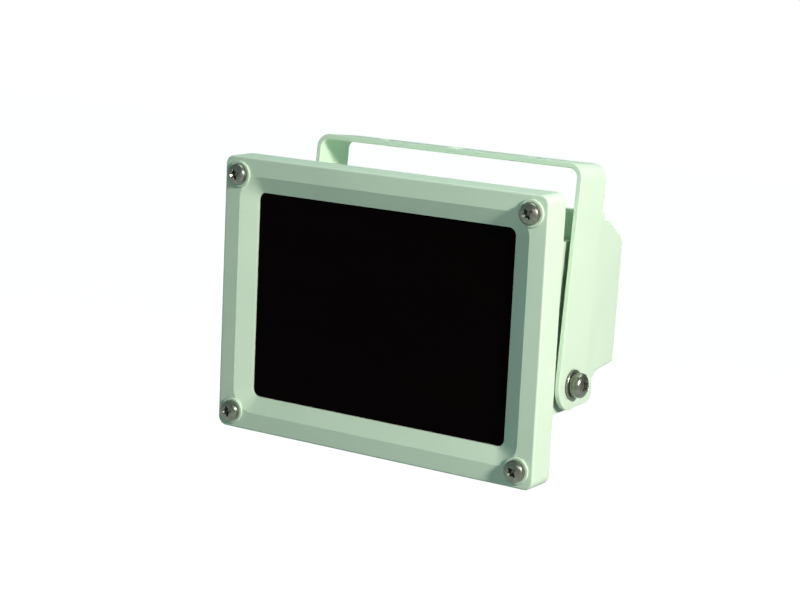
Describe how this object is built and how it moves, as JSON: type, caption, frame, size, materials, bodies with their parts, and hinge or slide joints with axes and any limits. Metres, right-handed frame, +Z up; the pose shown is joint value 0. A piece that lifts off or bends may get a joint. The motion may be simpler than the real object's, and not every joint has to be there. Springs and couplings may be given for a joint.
{
  "type": "infrared illuminator",
  "caption": "Square-fronted infrared lamp: dark filter window in a bevelled cast bezel, stepped cast housing with a rear cable gland, hung by side pivots in a U-shaped strap bracket.",
  "frame": {"origin": "centre of the top face of the bracket bar, on the axis of its centre mounting hole", "axes": "+X to the right as seen from the front, +Y to the back, +Z up and square to the bar; the window faces -Y, tilted 5.26 degrees nose down"},
  "size_m": [0.14, 0.126, 0.1155],
  "materials": {
    "bracket_paint": "satin powder coat, pale grey green",
    "casting_paint": "satin powder coat, pale grey green, over a casting",
    "dark_filter": "polished, near black with a red tinge",
    "black_rubber": "dull black",
    "gland_nylon": "fine matt grey",
    "bare_aluminium": "milled",
    "white_board": "white lacquer",
    "green_board": "green lacquer",
    "clear_lens": "clear moulding",
    "lead_sleeve": "coloured sleeve",
    "emitter": "clear dome on a pale base",
    "sensor_face": "ceramic cell with a lacquered face",
    "spacer_nylon": "natural nylon",
    "steel_fastener": "zinc plated",
    "capacitor_sleeve": "dark sleeve",
    "dark_core": "dark core with a shrunk sleeve",
    "black_moulding": "black moulding",
    "terminal_nylon": "green nylon"
  },
  "bodies": {
    "bracket": {"bracket": "bracket_paint"},
    "housing": {"bezel_screw_1": "steel_fastener", "bezel_screw_2": "steel_fastener", "bezel_screw_3": "steel_fastener", "bezel_screw_4": "steel_fastener", "board_screw_1": "steel_fastener", "board_screw_2": "steel_fastener", "board_screw_3": "steel_fastener", "board_screw_4": "steel_fastener", "cover_screw_1": "steel_fastener", "cover_screw_2": "steel_fastener", "cover_screw_3": "steel_fastener", "cover_screw_4": "steel_fastener", "cover_seal": "black_rubber", "driver_board": "green_board", "driver_choke": "dark_core", "driver_regulator": "black_moulding", "driver_screw_1": "steel_fastener", "driver_screw_2": "steel_fastener", "driver_screw_3": "steel_fastener", "driver_screw_4": "steel_fastener", "filter_window": "dark_filter", "front_bezel": "casting_paint", "gland_body": "gland_nylon", "gland_bung": "black_rubber", "gland_cap": "gland_nylon", "gland_locknut": "gland_nylon", "heat_spreader": "bare_aluminium", "input_capacitor": "capacitor_sleeve", "led_01": "emitter", "led_02": "emitter", "led_03": "emitter", "led_04": "emitter", "led_05": "emitter", "led_06": "emitter", "led_07": "emitter", "led_08": "emitter", "led_09": "emitter", "led_10": "emitter", "led_11": "emitter", "led_12": "emitter", "led_board": "white_board", "led_lead_negative": "lead_sleeve", "led_lead_positive": "lead_sleeve", "lens_plate": "clear_lens", "light_sensor": "sensor_face", "main_housing": "casting_paint", "output_capacitor": "capacitor_sleeve", "pivot_flat_washer_left": "steel_fastener", "pivot_flat_washer_right": "steel_fastener", "pivot_lock_washer_left": "steel_fastener", "pivot_lock_washer_right": "steel_fastener", "pivot_screw_left": "steel_fastener", "pivot_screw_right": "steel_fastener", "pivot_spacer_left": "spacer_nylon", "pivot_spacer_right": "spacer_nylon", "rear_cover": "casting_paint", "terminal_block": "terminal_nylon", "window_seal": "black_rubber"}
  },
  "joints": [
    {"name": "housing_tilt", "type": "hinge", "parent": "bracket", "child": "housing", "pos_m": [0, 0, -0.082], "axis": [1, 0, 0], "range_deg": [-22, 205]}
  ]
}
